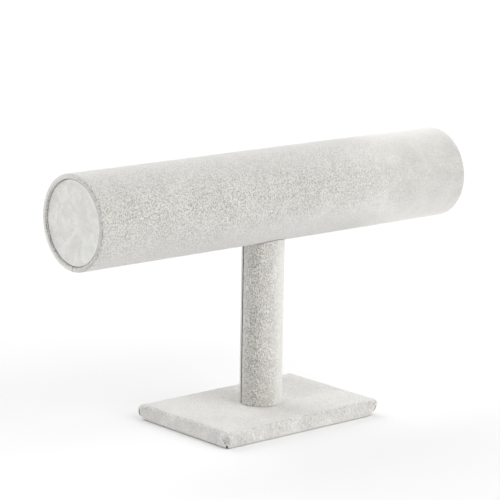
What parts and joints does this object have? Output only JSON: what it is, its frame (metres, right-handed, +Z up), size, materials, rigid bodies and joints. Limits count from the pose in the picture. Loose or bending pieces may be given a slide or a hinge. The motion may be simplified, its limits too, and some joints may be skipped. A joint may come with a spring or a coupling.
{
  "type": "watch display bar",
  "caption": "Velvet covered round bar on a post and a wrapped rectangular base, for showing watches and bracelets.",
  "frame": {"origin": "on the table under the middle of the post, at the middle of the base", "axes": "+X along the bar, +Y to the back across the bar, +Z up the post"},
  "size_m": [0.254, 0.073, 0.147],
  "materials": {
    "velvet": "short brushed pile",
    "liner": "pressed felt",
    "card": "plain greyboard",
    "fibreboard": "sanded fibreboard",
    "softwood": "turned softwood",
    "steel": "zinc plated"
  },
  "bodies": {
    "root": {"bar_tube": "card", "bar_cover": "velvet", "end_board_left": "card", "end_board_right": "card", "end_cover_left": "velvet", "end_cover_right": "velvet", "bar_saddle": "softwood", "bar_washer": "steel", "bar_screw": "steel", "post_tube": "card", "post_cover": "velvet", "post_top_plug": "softwood", "post_bottom_plug": "softwood", "base_board": "fibreboard", "base_cover": "velvet", "base_liner": "liner", "base_screw": "steel"}
  },
  "joints": []
}
